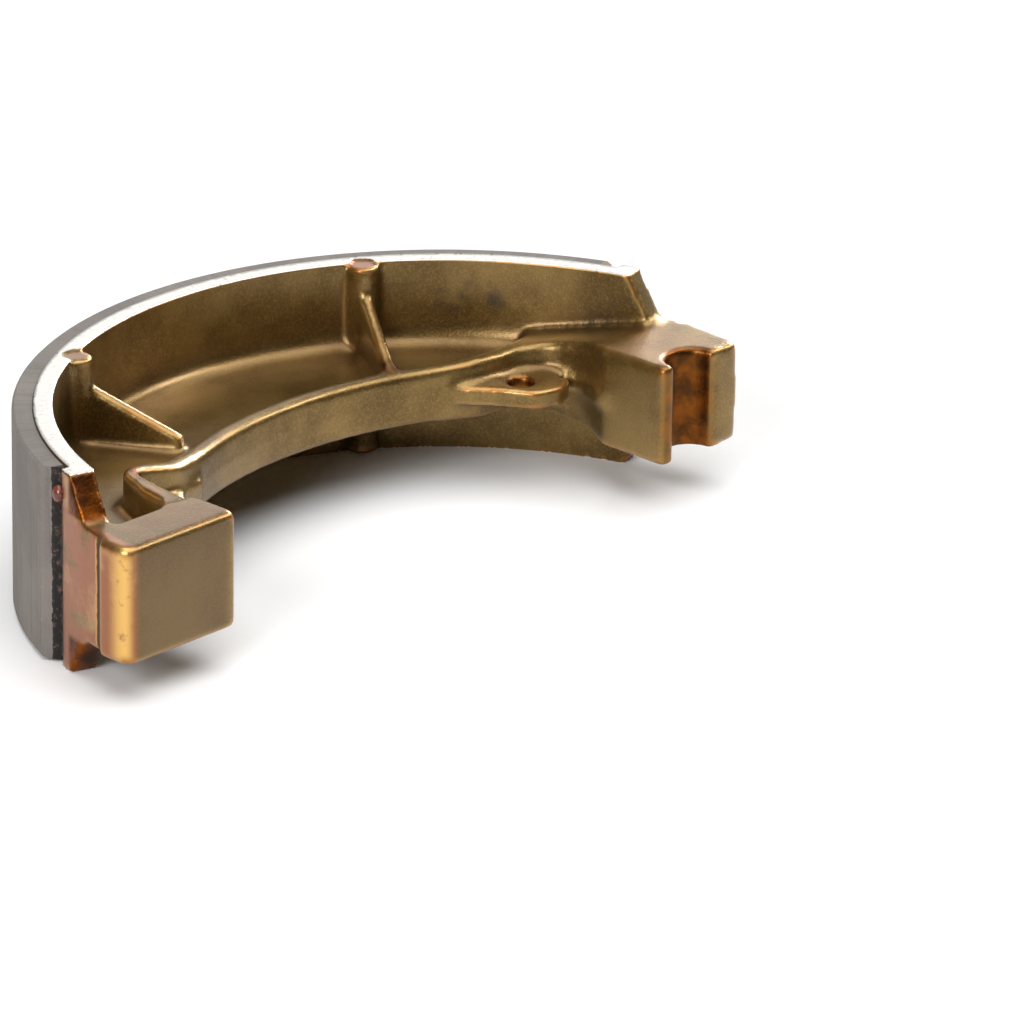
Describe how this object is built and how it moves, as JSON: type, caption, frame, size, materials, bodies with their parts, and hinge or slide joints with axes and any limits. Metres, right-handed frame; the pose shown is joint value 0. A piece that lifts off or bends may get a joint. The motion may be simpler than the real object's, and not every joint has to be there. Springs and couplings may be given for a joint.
{
  "type": "brake shoe",
  "caption": "Curved drum brake shoe: a cast aluminium body with a half-round pivot seat, a flat cam pad, spring holes and a bonded friction lining.",
  "frame": {"origin": "on the axis of the drum that the lining fits, in the plane of the casting's lower side edge", "axes": "+Z along the drum axis, away from the side that the shoe lies on; +Y from the drum axis to the middle of the lining; +X towards the pivot end"},
  "size_m": [0.1262, 0.0654, 0.0308],
  "materials": {
    "casting": "cast aluminium under olive gold varnish, bare metal on the machined side edges",
    "lining": "ground friction compound, warm grey and dull",
    "adhesive": "dark cured adhesive with a ragged edge"
  },
  "bodies": {
    "root": {"shoe_casting": "casting", "friction_lining": "lining", "bond_film": "adhesive"}
  },
  "joints": []
}
